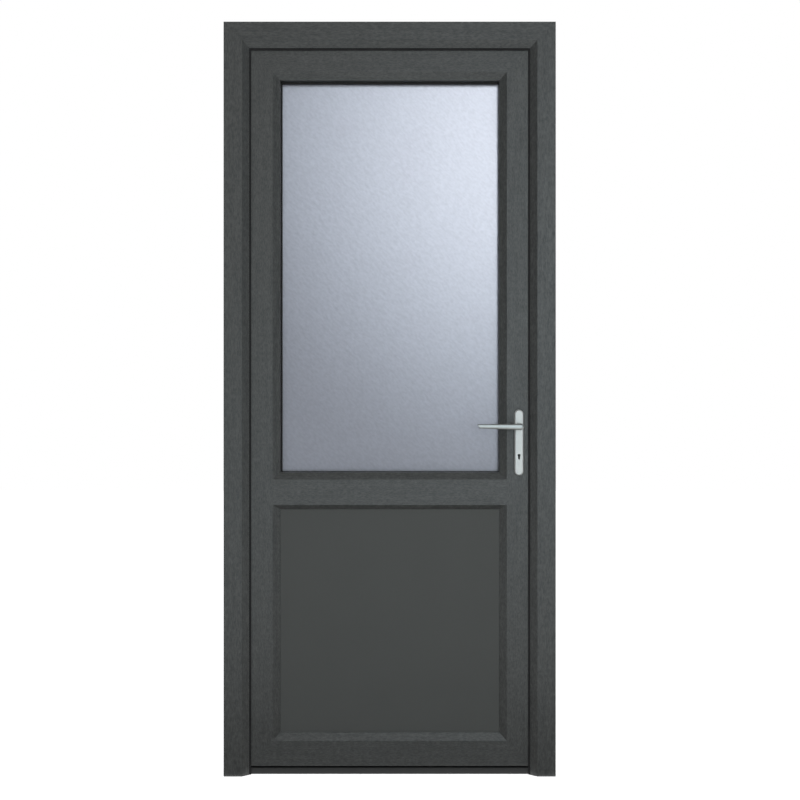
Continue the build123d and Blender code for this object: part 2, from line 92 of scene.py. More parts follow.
class DoorFinish(bpy.types.PropertyGroup):
    """Colours and grain of the door's own finishes."""

    foil: FloatVectorProperty(
        name="Foil", description="Colour of the woodgrain foil", subtype="COLOR", size=3,
        default=(0.0455, 0.0482, 0.0463), min=0, max=1)
    foil_groove: FloatVectorProperty(
        name="Foil pores", description="Colour down in the pores of the grain", subtype="COLOR", size=3,
        default=(0.016, 0.018, 0.0185), min=0, max=1)
    panel: FloatVectorProperty(
        name="Panel", description="Colour of the smooth foil on the lower panel", subtype="COLOR", size=3,
        default=(0.0512, 0.055, 0.0532), min=0, max=1)
    grain_length: FloatProperty(
        name="Grain length", description="Usual length of one pore of the grain", subtype="DISTANCE",
        default=0.022, min=0.002, max=0.2)
    grain_width: FloatProperty(
        name="Grain width", description="Usual width of one pore of the grain", subtype="DISTANCE",
        default=0.0011, min=0.0002, max=0.01)
    seal: FloatVectorProperty(
        name="Seals", description="Colour of the rubber seals and gaskets", subtype="COLOR", size=3,
        default=(0.011, 0.011, 0.0115), min=0, max=1)
    handle: FloatVectorProperty(
        name="Handles", description="Colour of the satin handles", subtype="COLOR", size=3,
        default=(0.565, 0.576, 0.566), min=0, max=1)


class DoorGlass(bpy.types.PropertyGroup):
    """Tint and ripple of the obscured pane."""

    tint: FloatVectorProperty(
        name="Tint", description="Colour of the obscured glass", subtype="COLOR", size=3,
        default=(0.645, 0.659, 0.755), min=0, max=1)
    ripple_length: FloatProperty(
        name="Ripple length", description="Usual distance between two ripples", subtype="DISTANCE",
        default=0.013, min=0.004, max=0.05)
    ripple_height: FloatProperty(
        name="Ripple height", description="Usual depth of a ripple", subtype="DISTANCE",
        default=0.0001, min=0, max=0.001)


class DoorStage(bpy.types.PropertyGroup):
    """Camera, studio lamp and ambient light."""

    camera_distance: FloatProperty(
        name="Camera distance", description="From the camera to the face of the frame", subtype="DISTANCE",
        default=2.55, min=0.5, max=20)
    camera_across: FloatProperty(
        name="Camera across", description="From the middle of the door to the camera, to the right",
        subtype="DISTANCE", default=0.0286, min=-5, max=5)
    camera_height: FloatProperty(
        name="Camera height", description="From the floor to the camera", subtype="DISTANCE",
        default=1.0423, min=0, max=5)
    focal_length: FloatProperty(
        name="Focal length", description="Focal length of the camera in millimetres",
        default=41.46, min=10, max=300)
    key_power: FloatProperty(
        name="Key power", description="Power of the large lamp at the front right", subtype="POWER",
        default=60, min=0, max=2000)
    ambient: FloatProperty(
        name="Ambient", description="Level of the even light from all round", default=0.55, min=0, max=2)


def socket_fill(tree, node, inputs):
    """Give each named input of a node a number, or a link when the value is a socket."""
    for name, value in inputs.items():
        if isinstance(value, bpy.types.NodeSocket):
            tree.links.new(value, node.inputs[name])
        else:
            node.inputs[name].default_value = value


def add_node(tree, kind, inputs=None, **settings):
    """Add a node with its settings and inputs."""
    node = tree.nodes.new(kind)
    for name, value in settings.items():
        setattr(node, name, value)
    socket_fill(tree, node, inputs or {})
    return node


def math(tree, operation, first, second=0.0, clamp=False):
    """Add a Math node and return its value."""
    node = add_node(tree, "ShaderNodeMath", {0: first, 1: second}, operation=operation, use_clamp=clamp)
    return node.outputs[0]


def mix_colours(tree, factor, first, second):
    """Mix two colours by a factor and return the result."""
    node = add_node(tree, "ShaderNodeMix", {0: factor, 6: first, 7: second}, data_type="RGBA")
    return node.outputs[2]


def scaled(tree, colour, factor):
    """Multiply a colour by a factor and return the result."""
    node = add_node(tree, "ShaderNodeVectorMath", {0: colour, "Scale": factor}, operation="SCALE")
    return node.outputs[0]


def bumped(tree, height, strength, distance):
    """Turn a height into a normal and return it."""
    node = add_node(tree, "ShaderNodeBump", {"Strength": strength, "Distance": distance, "Height": height})
    return node.outputs[0]


def remap(tree, value, low, high, new_low=0.0, new_high=1.0, smooth=True):
    """Carry a value from one range to another."""
    node = add_node(
        tree, "ShaderNodeMapRange",
        {"Value": value, "From Min": low, "From Max": high, "To Min": new_low, "To Max": new_high},
        interpolation_type="SMOOTHSTEP" if smooth else "LINEAR")
    return node.outputs["Result"]


def stretched(tree, vector, along, across):
    """Divide a vector by a length along X and another across it."""
    scale = add_node(tree, "ShaderNodeCombineXYZ", {
        0: math(tree, "DIVIDE", 1.0, along),
        1: math(tree, "DIVIDE", 1.0, across),
        2: math(tree, "DIVIDE", 1.0, across)})
    node = add_node(tree, "ShaderNodeVectorMath", {0: vector, 1: scale.outputs[0]}, operation="MULTIPLY")
    return node.outputs[0]


def along_bar(tree, place, upright):
    """Turn coordinates so that their X runs up the bar when it is upright."""
    node = add_node(tree, "ShaderNodeMapping",
                    {"Vector": place, "Rotation": (0, np.pi / 2 if upright else 0, 0)})
    return node.outputs[0]


def noise(tree, vector, scale=1.0, detail=2.0, roughness=0.5):
    """Add a noise texture and return its value."""
    node = add_node(tree, "ShaderNodeTexNoise",
                    {"Vector": vector, "Scale": scale, "Detail": detail, "Roughness": roughness})
    return node.outputs[0]


def new_group(name, inputs, outputs):
    """Start a shader node group: its tree, the sockets it is given and the node that takes its results."""
    tree = bpy.data.node_groups.new(name, "ShaderNodeTree")
    kinds = {"vector": "NodeSocketVector", "colour": "NodeSocketColor", "value": "NodeSocketFloat"}
    for label, kind, default in inputs:
        socket = tree.interface.new_socket(name=label, in_out="INPUT", socket_type=kinds[kind])
        if default is not None:
            socket.default_value = default
    for label, kind in outputs:
        tree.interface.new_socket(name=label, in_out="OUTPUT", socket_type=kinds[kind])
    given = tree.nodes.new("NodeGroupInput").outputs
    results = tree.nodes.new("NodeGroupOutput")
    return tree, given, results


def foil_grain_group():
    """Embossed woodgrain foil: fine pores, flecks and long streaks that run along X of the given vector."""
    if "foil_grain" in bpy.data.node_groups:
        return bpy.data.node_groups["foil_grain"]
    tree, given, results = new_group(
        "foil_grain",
        [("Vector", "vector", None), ("Foil", "colour", (0.03, 0.03, 0.03, 1)),
         ("Pores", "colour", (0.01, 0.01, 0.01, 1)), ("Length", "value", 0.02), ("Width", "value", 0.001),
         ("Depth", "value", 1.0), ("Roughness", "value", 0.45)],
        [("Color", "colour"), ("Roughness", "value"), ("Normal", "vector")])
    fine = stretched(tree, given["Vector"], given["Length"], given["Width"])
    pores = remap(tree, noise(tree, fine, detail=3, roughness=0.6), 0.50, 0.70)
    long = stretched(tree, given["Vector"], math(tree, "MULTIPLY", given["Length"], 9.0),
                     math(tree, "MULTIPLY", given["Width"], 7.0))
    streaks = noise(tree, long, detail=3, roughness=0.55)
    middle = stretched(tree, given["Vector"], math(tree, "MULTIPLY", given["Length"], 0.45),
                       math(tree, "MULTIPLY", given["Width"], 2.2))
    flecks = remap(tree, noise(tree, middle, detail=3, roughness=0.7), 0.41, 0.61)
    cloud = noise(tree, given["Vector"], scale=85.0, detail=4, roughness=0.7)
    depth = math(tree, "MULTIPLY", pores, given["Depth"])
    long_marks = math(tree, "MULTIPLY", remap(tree, streaks, 0.35, 0.75), 0.25)
    short_marks = math(tree, "MULTIPLY", flecks, 0.75)
    pore_marks = math(tree, "MULTIPLY", depth, 0.5)
    marks = math(tree, "ADD", pore_marks, math(tree, "ADD", long_marks, short_marks), clamp=True)
    colour = mix_colours(tree, marks, given["Foil"], given["Pores"])
    tone = remap(tree, cloud, 0.3, 0.7, 0.75, 1.25, smooth=False)
    height = math(tree, "SUBTRACT", math(tree, "MULTIPLY", streaks, 0.5), depth)
    rough = math(tree, "ADD", given["Roughness"], math(tree, "MULTIPLY", depth, 0.12))
    socket_fill(tree, results, {"Color": scaled(tree, colour, tone), "Roughness": rough,
                                "Normal": bumped(tree, height, strength=0.55, distance=0.00018)})
    return tree


def mitre_line_group():
    """Dark hairline where two mitred bars meet: a mask near the diagonals of a rectangle's corners."""
    if "mitre_line" in bpy.data.node_groups:
        return bpy.data.node_groups["mitre_line"]
    tree, given, results = new_group(
        "mitre_line",
        [("Vector", "vector", None), ("Half Width", "value", 0.4), ("Low", "value", 0.0),
         ("High", "value", 2.0), ("Line", "value", 0.0006)],
        [("Mask", "value")])
    parts = add_node(tree, "ShaderNodeSeparateXYZ", {0: given["Vector"]})
    inset = math(tree, "SUBTRACT", given["Half Width"], math(tree, "ABSOLUTE", parts.outputs[0]))
    below = math(tree, "SUBTRACT", given["High"], parts.outputs[2])
    above = math(tree, "SUBTRACT", parts.outputs[2], given["Low"])
    nearest = math(tree, "MINIMUM",
                   math(tree, "ABSOLUTE", math(tree, "SUBTRACT", inset, below)),
                   math(tree, "ABSOLUTE", math(tree, "SUBTRACT", inset, above)))
    mask = math(tree, "SUBTRACT", 1.0, math(tree, "DIVIDE", nearest, given["Line"]), clamp=True)
    socket_fill(tree, results, {"Mask": mask})
    return tree


def handled_metal_group():
    """Cast and polished metal: faint clouding, fine brushing and slightly duller patches."""
    if "handled_metal" in bpy.data.node_groups:
        return bpy.data.node_groups["handled_metal"]
    tree, given, results = new_group(
        "handled_metal",
        [("Vector", "vector", None), ("Metal", "colour", (0.6, 0.6, 0.6, 1)), ("Roughness", "value", 0.3),
         ("Brush Length", "value", 0.02), ("Brush Width", "value", 0.0004)],
        [("Color", "colour"), ("Roughness", "value"), ("Normal", "vector")])
    strokes = stretched(tree, given["Vector"], given["Brush Length"], given["Brush Width"])
    brushed = noise(tree, strokes, detail=2)
    cloud = noise(tree, given["Vector"], scale=45.0, detail=3)
    blend = math(tree, "ADD", math(tree, "MULTIPLY", brushed, 0.4), math(tree, "MULTIPLY", cloud, 0.6))
    tone = remap(tree, blend, 0.3, 0.7, 0.93, 1.05, smooth=False)
    rough = math(tree, "ADD", given["Roughness"], remap(tree, cloud, 0.35, 0.7, -0.03, 0.05, smooth=False))
    socket_fill(tree, results, {"Color": scaled(tree, given["Metal"], tone), "Roughness": rough,
                                "Normal": bumped(tree, brushed, strength=0.25, distance=0.00003)})
    return tree


def place_group(tree, group, inputs):
    """Put a node group into a material with its own values."""
    node = tree.nodes.new("ShaderNodeGroup")
    node.node_tree = group
    socket_fill(tree, node, inputs)
    return node.outputs


def new_material(name):
    """Start a material: its tree, its Principled shader and the object coordinates."""
    material = bpy.data.materials.new(name)
    material.use_nodes = True
    tree = material.node_tree
    tree.nodes.clear()
    shader = tree.nodes.new("ShaderNodeBsdfPrincipled")
    out = tree.nodes.new("ShaderNodeOutputMaterial")
    tree.links.new(shader.outputs[0], out.inputs[0])
    place = tree.nodes.new("ShaderNodeTexCoord").outputs["Object"]
    return material, tree, shader, place


def rgba(colour):
    """Add an alpha of one to a colour."""
    return (*colour, 1.0)


def foil_material(name, upright, corner=None):
    """Woodgrain foil with its grain along Z when upright, else along X, and hairlines at mitred corners.

    The corner is the half width, the lower height and the upper height of the mitred rectangle."""
    finish = bpy.context.scene.door_finish
    material, tree, shader, place = new_material(name)
    grain = place_group(tree, foil_grain_group(), {
        "Vector": along_bar(tree, place, upright), "Foil": rgba(finish.foil),
        "Pores": rgba(finish.foil_groove), "Length": finish.grain_length, "Width": finish.grain_width,
        "Depth": 1.0, "Roughness": 0.42})
    colour = grain["Color"]
    if corner:
        half, low, high = corner
        line = place_group(tree, mitre_line_group(),
                           {"Vector": place, "Half Width": half, "Low": low, "High": high})
        dark = math(tree, "MULTIPLY", line["Mask"], 0.75)
        colour = mix_colours(tree, dark, colour, (0.012, 0.012, 0.012, 1))
    socket_fill(tree, shader, {"Base Color": colour, "Roughness": grain["Roughness"],
                               "Normal": grain["Normal"], "IOR": 1.5, "Specular IOR Level": 0.8})
    return material


def panel_material():
    """Smooth foil of the lower panel: no pores, only a faint orange peel and a slight change of tone."""
    material, tree, shader, place = new_material("panel_foil")
    peel = noise(tree, place, scale=260, detail=2)
    tone = remap(tree, noise(tree, place, scale=7, detail=3), 0.3, 0.7, 0.98, 1.02, smooth=False)
    socket_fill(tree, shader, {
        "Base Color": scaled(tree, bpy.context.scene.door_finish.panel, tone),
        "Roughness": remap(tree, peel, 0.3, 0.7, 0.62, 0.68, smooth=False),
        "Normal": bumped(tree, peel, strength=0.2, distance=0.00005), "IOR": 1.5,
        "Specular IOR Level": 0.35})
    return material


def metal_material(name, colour, roughness, upright=True, metallic=1.0):
    """Plated or coated metal with faint brushing along Z when upright, else along X."""
    material, tree, shader, place = new_material(name)
    finish = place_group(tree, handled_metal_group(), {
        "Vector": along_bar(tree, place, upright), "Metal": rgba(colour), "Roughness": roughness})
    socket_fill(tree, shader, {"Base Color": finish["Color"], "Roughness": finish["Roughness"],
                               "Normal": finish["Normal"], "Metallic": metallic})
    return material


def seal_material():
    """Soft black rubber with a dusty bloom and a fine matt skin."""
    rubber = bpy.context.scene.door_finish.seal
    material, tree, shader, place = new_material("black_seal_rubber")
    bloom = remap(tree, noise(tree, place, scale=30, detail=4, roughness=0.6), 0.35, 0.75)
    skin = noise(tree, place, scale=1800, detail=1)
    dusty = tuple(3 * part for part in rubber)
    colour = mix_colours(tree, math(tree, "MULTIPLY", bloom, 0.35), rgba(rubber), rgba(dusty))
    socket_fill(tree, shader, {
        "Base Color": colour, "Roughness": remap(tree, bloom, 0, 1, 0.62, 0.75),
        "Normal": bumped(tree, skin, strength=0.3, distance=0.00004), "Specular IOR Level": 0.2})
    return material


def obscured_glass_material():
    """Rolled obscured glass: bluish, with fine wrinkles over the modelled ripples, and painted shade and
    highlight that follow the wrinkles.
    """
    tint = bpy.context.scene.door_glass.tint
    material, tree, shader, place = new_material("obscured_glass")
    turned = add_node(tree, "ShaderNodeMapping", {"Vector": place, "Rotation": (0, np.radians(-45), 0)})
    wrinkles = noise(tree, stretched(tree, turned.outputs[0], along=0.012, across=0.006), detail=1,
                     roughness=0.45)
    seeds = noise(tree, place, scale=150, detail=1, roughness=0.4)
    height = math(tree, "ADD", wrinkles, math(tree, "MULTIPLY", seeds, 0.4))
    # Painted shade and highlight: the tint is darkened in the wrinkles' troughs and lightened on their
    # crests
    shade = remap(tree, height, 0.45, 0.95, 0.9, 1.07, smooth=False)
    socket_fill(tree, shader, {
        "Base Color": scaled(tree, tint, shade), "Roughness": remap(tree, seeds, 0.3, 0.7, 0.28, 0.35),
        "Normal": bumped(tree, height, strength=0.6, distance=0.0007), "IOR": 1.5,
        "Transmission Weight": 0.85})
    return material


def clear_glass_material():
    """Clear inner pane with a very faint green cast and a trace of dust."""
    material, tree, shader, place = new_material("clear_glass")
    dust = remap(tree, noise(tree, place, scale=12, detail=5, roughness=0.65), 0.5, 0.8)
    socket_fill(tree, shader, {
        "Base Color": mix_colours(tree, dust, (0.93, 0.97, 0.95, 1), (0.86, 0.88, 0.87, 1)),
        "Roughness": remap(tree, dust, 0, 1, 0.0, 0.06), "IOR": 1.5, "Transmission Weight": 1.0})
    return material


def spacer_material():
    """Mill-finish spacer bar with its row of breather pricks."""
    material, tree, shader, place = new_material("spacer_bar_metal")
    finish = place_group(tree, handled_metal_group(),
                         {"Vector": place, "Metal": (0.78, 0.79, 0.80, 1), "Roughness": 0.4})
    dots = add_node(tree, "ShaderNodeTexVoronoi", {"Vector": place, "Scale": 260.0, "Randomness": 0.1})
    prick = remap(tree, dots.outputs["Distance"], 0.12, 0.2)
    bump = add_node(tree, "ShaderNodeBump", {"Strength": 0.5, "Distance": 0.0002, "Height": prick,
                                             "Normal": finish["Normal"]})
    socket_fill(tree, shader, {
        "Base Color": mix_colours(tree, prick, (0.08, 0.08, 0.08, 1), finish["Color"]),
        "Roughness": finish["Roughness"], "Normal": bump.outputs[0], "Metallic": 1.0})
    return material


def dress(material, *nodes):
    """Give CAD nodes a material."""
    for name in nodes:
        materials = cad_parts[name].data.materials
        materials.clear()
        materials.append(material)


def grid_faces(rows, columns, closed=False):
    """Corner numbers of the quads of a grid, row by row, wrapping round when closed."""
    index = np.arange(rows * columns).reshape(rows, columns)
    if closed:
        index = np.concatenate([index, index[:, :1]], axis=1)
    corners = [index[:-1, :-1], index[:-1, 1:], index[1:, 1:], index[1:, :-1]]
    return np.stack(corners, axis=-1).reshape(-1, 4)


def solid_piece(name, points, faces, body, material, smooth_below=35):
    """Make a piece from points and faces, and let it ride on a body.

    Its poles are merged, its faces turned outwards, and its edges smoothed below an angle in degrees."""
    mesh = bpy.data.meshes.new(name)
    mesh.from_pydata(points.tolist(), [], [list(face) for face in faces])
    work = bmesh.new()
    work.from_mesh(mesh)
    bmesh.ops.remove_doubles(work, verts=work.verts, dist=1e-6)
    bmesh.ops.dissolve_degenerate(work, edges=work.edges, dist=1e-7)
    bmesh.ops.recalc_face_normals(work, faces=work.faces)
    work.to_mesh(mesh)
    work.free()
    mesh.shade_smooth()
    mesh.set_sharp_from_angle(angle=np.radians(smooth_below))
    mesh.materials.append(material)
    piece = bpy.data.objects.new(name, mesh)
    bpy.context.scene.collection.objects.link(piece)
    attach(piece, body)
    return piece


def screw_heads(name, places, outward, radius, body, material):
    """Countersunk cross-head screws, all in one mesh.

    A head is turned about its axis: radius and height follow a path over a shallow dome, down its rim
    and back under it. The dome is let down where a point lies in either arm of a cross."""
    out = np.array(outward, float)
    across = np.cross(out, (0.0, 0.0, 1.0))
    across = across / np.linalg.norm(across)
    up = np.cross(across, out)
    dome, arm, arm_length, cross_depth = 0.12 * radius, 0.13 * radius, 0.62 * radius, 0.0009
    rim_top, rim_low, underside = 0.0004, 0.0002, -0.0003
    reach = np.concatenate([np.linspace(0, 1, 12), [1.0, 1.0, 0.0]]) * radius
    rise = dome * (1 - (reach / radius) ** 2) + rim_top
    rise[-3:] = (rim_low, underside, underside)
    angle = np.linspace(0, 2 * np.pi, 40, endpoint=False)
    flat_x = reach[:, None] * np.cos(angle)
    flat_y = reach[:, None] * np.sin(angle)
    in_cross = ((np.abs(flat_x) < arm) | (np.abs(flat_y) < arm)) & (reach[:, None] < arm_length)
    in_cross[-3:] = False
    height = rise[:, None] - np.where(in_cross, cross_depth, 0.0)
    height[-3:] = rise[-3:, None]
    head = (flat_x[..., None] * across + flat_y[..., None] * up + height[..., None] * out).reshape(-1, 3)
    quads = grid_faces(len(reach), len(angle), closed=True)
    places = np.array(places, float)
    points = (places[:, None, :] + head[None]).reshape(-1, 3)
    faces = (quads[None] + (np.arange(len(places)) * len(head))[:, None, None]).reshape(-1, 4)
    solid_piece(name, points, faces, body, material)


def gasket_ring(name, node, reaches, material):
    """A mitred gasket with a rounded nose, in place of the CAD's square one.

    The section runs straight in from the rebate and ends in a half circle, whose distance inwards and
    height are the cosine and sine of one angle. It stands at the four corners of the node's box, so far
    in from each side as each of its points asks; the reaches are those of the left, the right, the
    bottom and the top run."""
    low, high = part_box(node)
    half = (high.y - low.y) / 2
    turn = np.linspace(-np.pi / 2, np.pi / 2, 11)
    left, right, bottom, top = (
        np.concatenate([[0.0], reach - half + half * np.cos(turn), [0.0]]) for reach in reaches)
    y = (low.y + high.y) / 2 + np.concatenate([[-half], half * np.sin(turn), [half]])
    x = np.stack([low.x + left, high.x - right, high.x - right, low.x + left, low.x + left])
    z = np.stack([low.z + bottom, low.z + bottom, high.z - top, high.z - top, low.z + bottom])
    points = np.stack([x, np.broadcast_to(y, x.shape), z], axis=-1).reshape(-1, 3)
    ring = solid_piece(name, points, grid_faces(*x.shape, closed=True), "leaf", material)
    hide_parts(node)


def swept_grip(face, outwards):
    """Points and faces of one lever's grip.

    Rounded sections stand along X from the hub's round end to the tip. Each is a superellipse between
    the grip's upper and lower lines and between its back and front: the cosine and sine of the angle,
    each raised to a power with its sign kept, stretch it in depth and in height. Near the hub the
    section shrinks as a half circle does, near the tip it leans with the slanted end, and the last
    rings close on the middle."""
    along = np.concatenate([
        HUB_RADIUS * np.sin(np.linspace(np.pi / 2, 0, 14)),
        np.linspace(-0.004, -0.1165, 48),
        [-0.1185, -0.1196, -GRIP_LENGTH, -GRIP_LENGTH]])
    share = np.clip(-along / GRIP_LENGTH, 0, 1)
    hub = np.sqrt(np.clip(1 - np.clip(along / HUB_RADIUS, 0, 1) ** 2, 0, 1))
    tip = np.ones(len(along))
    tip[-3:] = (0.9, 0.62, 0.0)
    top = HUB_RADIUS - 0.0012 * share
    bottom = -0.0088 + 0.0042 * share
    middle = (top + bottom) / 2
    half_height = (top - bottom) / 2 * hub * tip
    back = GRIP_BACK + 0.0035 * share
    half_depth = (GRIP_FRONT - back) / 2 * hub ** 0.5 * tip
    angle = np.linspace(0, 2 * np.pi, 48, endpoint=False)
    power = 0.85
    deep = np.sign(np.cos(angle)) * np.abs(np.cos(angle)) ** power
    high = np.sign(np.sin(angle)) * np.abs(np.sin(angle)) ** power
    z = (middle * hub)[:, None] + half_height[:, None] * high
    offset = ((GRIP_FRONT + back) / 2)[:, None] + half_depth[:, None] * deep
    near_tip = np.clip((share - 0.6) / 0.4, 0, 1)[:, None]
    lean = GRIP_TIP_SLANT * near_tip * np.clip((top[:, None] - z) / 0.0105, 0, 1)
    x = np.broadcast_to(along[:, None], z.shape) + lean
    points = np.stack([SPINDLE_X + x, face + outwards * offset, SPINDLE_Z + z], axis=-1).reshape(-1, 3)
    return points, grid_faces(len(along), len(angle), closed=True)


def turned_neck(face, outwards):
    """Points and faces of one lever's neck: a path of radius and height, turned about the spindle.

    The path runs from inside the grip down the flared neck, round the collar, over the journal that sits
    in the plate, and back up the bore that takes the spindle."""
    radius, height = np.array([
        (0, 44), (7.2, 44), (7.4, 41), (7.0, 38), (6.7, 35), (6.55, 31), (6.5, 25), (6.5, 18),
        (6.6, 12.2), (6.9, 11.7), (9.6, 11.4), (10, 11.0), (10, 9.6), (9.7, 9.2), (8, 9.2), (8, 1),
        (5.8, 1), (5.8, 16), (0, 16)]).T / 1000
    angle = np.linspace(0, 2 * np.pi, 56, endpoint=False)
    x = SPINDLE_X + radius[:, None] * np.cos(angle)
    z = SPINDLE_Z + radius[:, None] * np.sin(angle)
    y = np.broadcast_to((face + outwards * height)[:, None], x.shape)
    return np.stack([x, y, z], axis=-1).reshape(-1, 3), grid_faces(len(height), len(angle), closed=True)


def smooth_lever(side, outwards, material):
    """One lever with rounded grip and turned neck, in place of the CAD's bevelled one."""
    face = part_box(f"{side}_handle_plate")[1 if outwards < 0 else 0].y
    grip, grip_faces = swept_grip(face, outwards)
    neck, neck_faces = turned_neck(face, outwards)
    lever = solid_piece(f"{side}_lever_surface", np.concatenate([grip, neck]),
                        np.concatenate([grip_faces, neck_faces + len(grip)]), "levers", material,
                        smooth_below=50)
    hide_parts(f"{side}_lever")


def obscured_pane():
    """The obscured pane: a sheet whose outer face ripples.

    The outer face is a grid. Its depth is a sum of plane waves, all near one diagonal, with seeded
    directions, lengths and phases, and fades to flat at the edges under the gaskets."""
    settings = bpy.context.scene.door_glass
    waves, deepest, fade_width = 46, 0.0006, 0.01
    low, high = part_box("glass_outer_pane")
    across = np.linspace(low.x, high.x, 216)
    up = np.linspace(low.z, high.z, 380)
    x, z = np.meshgrid(across, up, indexing="ij")
    chance = np.random.default_rng(7)
    ripple = np.zeros_like(x)
    for _ in range(waves):
        heading = np.radians(45 + chance.normal(0, 32))
        length = settings.ripple_length * chance.uniform(0.8, 1.9)
        wave = 2 * np.pi / length * (np.cos(heading) * x + np.sin(heading) * z)
        ripple += np.sin(wave + chance.uniform(0, 2 * np.pi))
    ripple = settings.ripple_height * ripple / np.sqrt(waves / 2)
    edge = np.minimum(np.minimum(x - low.x, high.x - x), np.minimum(z - low.z, high.z - z))
    fade = np.clip(edge / fade_width, 0, 1)
    depth = low.y + deepest + np.clip(ripple, -deepest, deepest) * fade
    outer = np.stack([x, depth, z], axis=-1).reshape(-1, 3)
    faces = grid_faces(*x.shape).tolist()
    index = np.arange(x.size).reshape(x.shape)
    rim = np.concatenate([index[:-1, 0], index[-1, :-1], index[:0:-1, -1], index[0, :0:-1]])
    inner = outer[rim].copy()
    inner[:, 1] = high.y
    inner_index = x.size + np.arange(len(rim))
    following = np.roll(np.arange(len(rim)), -1)
    faces += np.stack([rim, rim[following], inner_index[following], inner_index], axis=-1).tolist()
    faces.append(inner_index.tolist())
    pane = solid_piece("obscured_pane", np.concatenate([outer, inner]), faces, "leaf",
                       obscured_glass_material(), smooth_below=40)
    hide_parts("glass_outer_pane")


class DOOR_OT_dress_frame(bpy.types.Operator):
    """Dress the outer frame in grained foil"""

    bl_idname = "door.dress_frame"
    bl_label = "Frame"

    def execute(self, context):
        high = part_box("frame_head")[1]
        # The jambs have no corner at the floor, so the lower one is put far below it
        corner = (high.x, -10.0, high.z)
        dress(foil_material("frame_foil_upright", upright=True, corner=corner),
              "frame_left_jamb", "frame_right_jamb")
        dress(foil_material("frame_foil_level", upright=False, corner=corner), "frame_head")
        return {"FINISHED"}


class DOOR_OT_dress_leaf(bpy.types.Operator):
    """Dress the leaf's stiles, rails and beads in grained foil"""

    bl_idname = "door.dress_leaf"
    bl_label = "Leaf"

    def execute(self, context):
        low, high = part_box("leaf_bottom_rail")[0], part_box("leaf_top_rail")[1]
        corner = (high.x - LEAF_FLANGE, low.z + LEAF_FLANGE, high.z - LEAF_FLANGE)
        dress(foil_material("leaf_foil_upright", upright=True, corner=corner),
              "leaf_hinge_stile", "leaf_lock_stile")
        dress(foil_material("leaf_foil_level", upright=False, corner=corner),
              "leaf_top_rail", "leaf_bottom_rail", "leaf_mid_rail")
        upright_foil = foil_material("bead_foil_upright", upright=True)
        level_foil = foil_material("bead_foil_level", upright=False)
        for opening in ("glass", "panel"):
            dress(upright_foil, f"{opening}_bead_left", f"{opening}_bead_right")
            dress(level_foil, f"{opening}_bead_top", f"{opening}_bead_bottom")
        return {"FINISHED"}


class DOOR_OT_dress_panel(bpy.types.Operator):
    """Dress the lower panel in smooth foil"""

    bl_idname = "door.dress_panel"
    bl_label = "Panel"

    def execute(self, context):
        dress(panel_material(), "lower_panel")
        return {"FINISHED"}


class DOOR_OT_dress_seals(bpy.types.Operator):
    """Dress the weather seals in black rubber and make the round-nosed gaskets"""

    bl_idname = "door.dress_seals"
    bl_label = "Seals"

    def execute(self, context):
        rubber = seal_material()
        dress(rubber, "frame_seal", "leaf_seal", "glass_outer_gasket", "glass_inner_gasket",
              "panel_outer_gasket", "panel_inner_gasket")
        # Its wider left and top runs are a painted shadow of the lip on the glass, not rubber a real gasket
        # shows
        gasket_ring("glass_outer_gasket_shadow_ring", "glass_outer_gasket", OUTER_GASKET_AND_SHADOW_REACHES, rubber)
        gasket_ring("glass_inner_gasket_ring", "glass_inner_gasket", INNER_GASKET_REACHES, rubber)
        gasket_ring("panel_inner_gasket_ring", "panel_inner_gasket", INNER_GASKET_REACHES, rubber)
        return {"FINISHED"}


class DOOR_OT_dress_threshold(bpy.types.Operator):
    """Dress the low threshold in dark coated metal"""

    bl_idname = "door.dress_threshold"
    bl_label = "Threshold"

    def execute(self, context):
        coating = metal_material("threshold_coating", (0.0115, 0.012, 0.012), roughness=0.55,
                                 upright=False, metallic=0.0)
        dress(coating, "threshold")
        return {"FINISHED"}


class DOOR_OT_glaze(bpy.types.Operator):
    """Make the obscured pane and dress the clear pane and the spacer bar"""

    bl_idname = "door.glaze"
    bl_label = "Glazing"

    def execute(self, context):
        obscured_pane()
        dress(clear_glass_material(), "glass_inner_pane")
        dress(spacer_material(), "glass_spacer")
        return {"FINISHED"}


class DOOR_OT_fit_handles(bpy.types.Operator):
    """Dress the handle plates, levers and spindle, and add the inside plate's screws"""

    bl_idname = "door.fit_handles"
    bl_label = "Handles"

    def execute(self, context):
        colour = context.scene.door_finish.handle
        plate_colour = tuple(0.9 * part for part in colour)
        satin = metal_material("satin_handle", plate_colour, roughness=0.34, metallic=0.5)
        dress(satin, "outside_handle_plate", "inside_handle_plate", "outside_lever", "inside_lever")
        level_satin = metal_material("satin_lever", colour, roughness=0.36, upright=False)
        dress(metal_material("spindle_steel", (0.35, 0.35, 0.34), roughness=0.4), "spindle")
        smooth_lever("outside", -1.0, level_satin)
        smooth_lever("inside", 1.0, level_satin)
        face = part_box("inside_handle_plate")[1].y
        screw_heads("inside_plate_screws", [(SPINDLE_X, face, level) for level in PLATE_SCREW_LEVELS],
                    outward=(0, 1, 0), radius=0.0032, body="leaf", material=satin)
        return {"FINISHED"}


